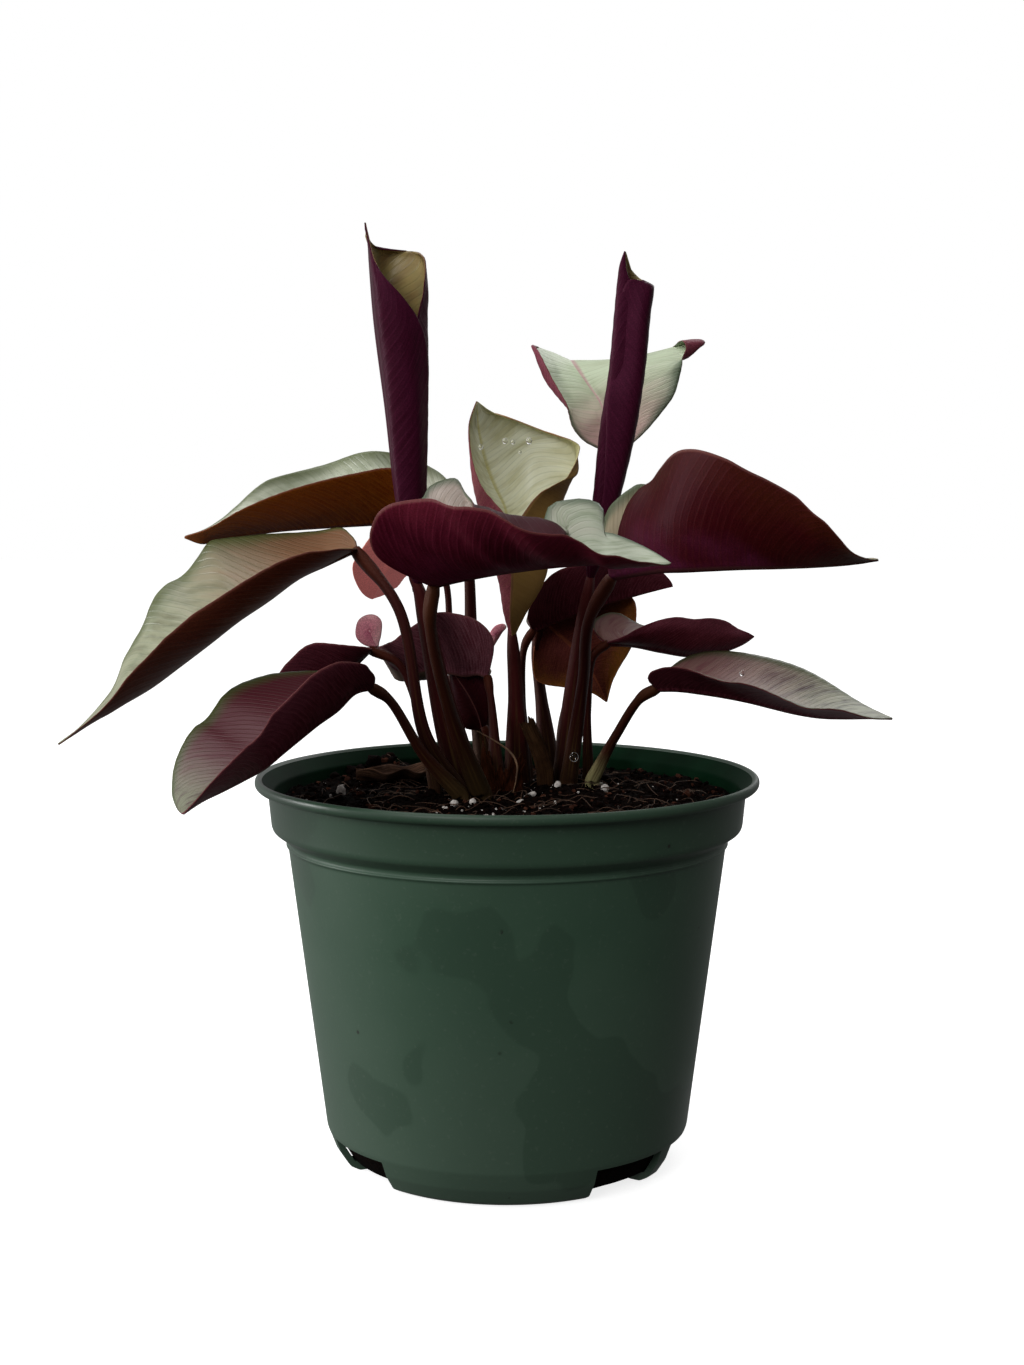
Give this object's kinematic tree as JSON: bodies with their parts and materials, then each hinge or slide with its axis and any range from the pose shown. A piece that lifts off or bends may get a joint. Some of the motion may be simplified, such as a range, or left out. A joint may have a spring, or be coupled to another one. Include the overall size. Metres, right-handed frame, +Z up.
{
  "type": "potted plant",
  "caption": "Potted prayer plant with broad purple-backed silver leaves, some still rolled, in a round green nursery pot filled with soil.",
  "frame": {"origin": "centre of the pot's underside, where the pot stands", "axes": "+Z up along the pot's axis, +X to the right as the viewer sees it, -Y towards the viewer"},
  "size_m": [0.2683, 0.2196, 0.3057],
  "materials": {
    "pot": "satin, moulded, slightly water stained",
    "soil": "crumbly, damp",
    "blade_purple": "smooth, low sheen",
    "blade_maroon": "smooth, low sheen",
    "blade_reddish": "smooth, low sheen",
    "blade_silver": "smooth, satin",
    "petiole": "smooth, damp",
    "cut_stub": "dry, fibrous",
    "dry_leaf": "dry, papery",
    "perlite": "rough, porous"
  },
  "bodies": {
    "root": {"pot": "pot", "soil": "soil", "blade_big_right": "blade_purple", "petiole_big_right": "petiole", "blade_front_curl": "blade_purple", "petiole_front_curl": "petiole", "blade_upper_left": "blade_maroon", "petiole_upper_left": "petiole", "blade_big_left": "blade_maroon", "petiole_big_left": "petiole", "blade_low_left": "blade_purple", "petiole_low_left": "petiole", "blade_behind_low_left": "blade_purple", "petiole_behind_low_left": "petiole", "blade_mid_right": "blade_purple", "petiole_mid_right": "petiole", "blade_low_right": "blade_purple", "petiole_low_right": "petiole", "blade_dark_right": "blade_purple", "petiole_dark_right": "petiole", "blade_hanging_back": "blade_reddish", "petiole_hanging_back": "petiole", "blade_centre_left": "blade_purple", "petiole_centre_left": "petiole", "blade_red_back": "blade_reddish", "petiole_red_back": "petiole", "blade_low_back": "blade_purple", "petiole_low_back": "petiole", "blade_back_upright": "blade_silver", "petiole_back_upright": "petiole", "blade_tall_left": "blade_purple", "petiole_tall_left": "petiole", "blade_tall_right": "blade_purple", "petiole_tall_right": "petiole", "blade_funnel": "blade_silver", "petiole_funnel": "petiole", "cut_petiole_stub": "cut_stub", "dry_sheath": "dry_leaf", "dried_leaf_on_soil": "dry_leaf", "perlite_1": "perlite", "perlite_2": "perlite", "perlite_3": "perlite", "perlite_4": "perlite", "perlite_5": "perlite", "perlite_6": "perlite", "perlite_7": "perlite"}
  },
  "joints": []
}
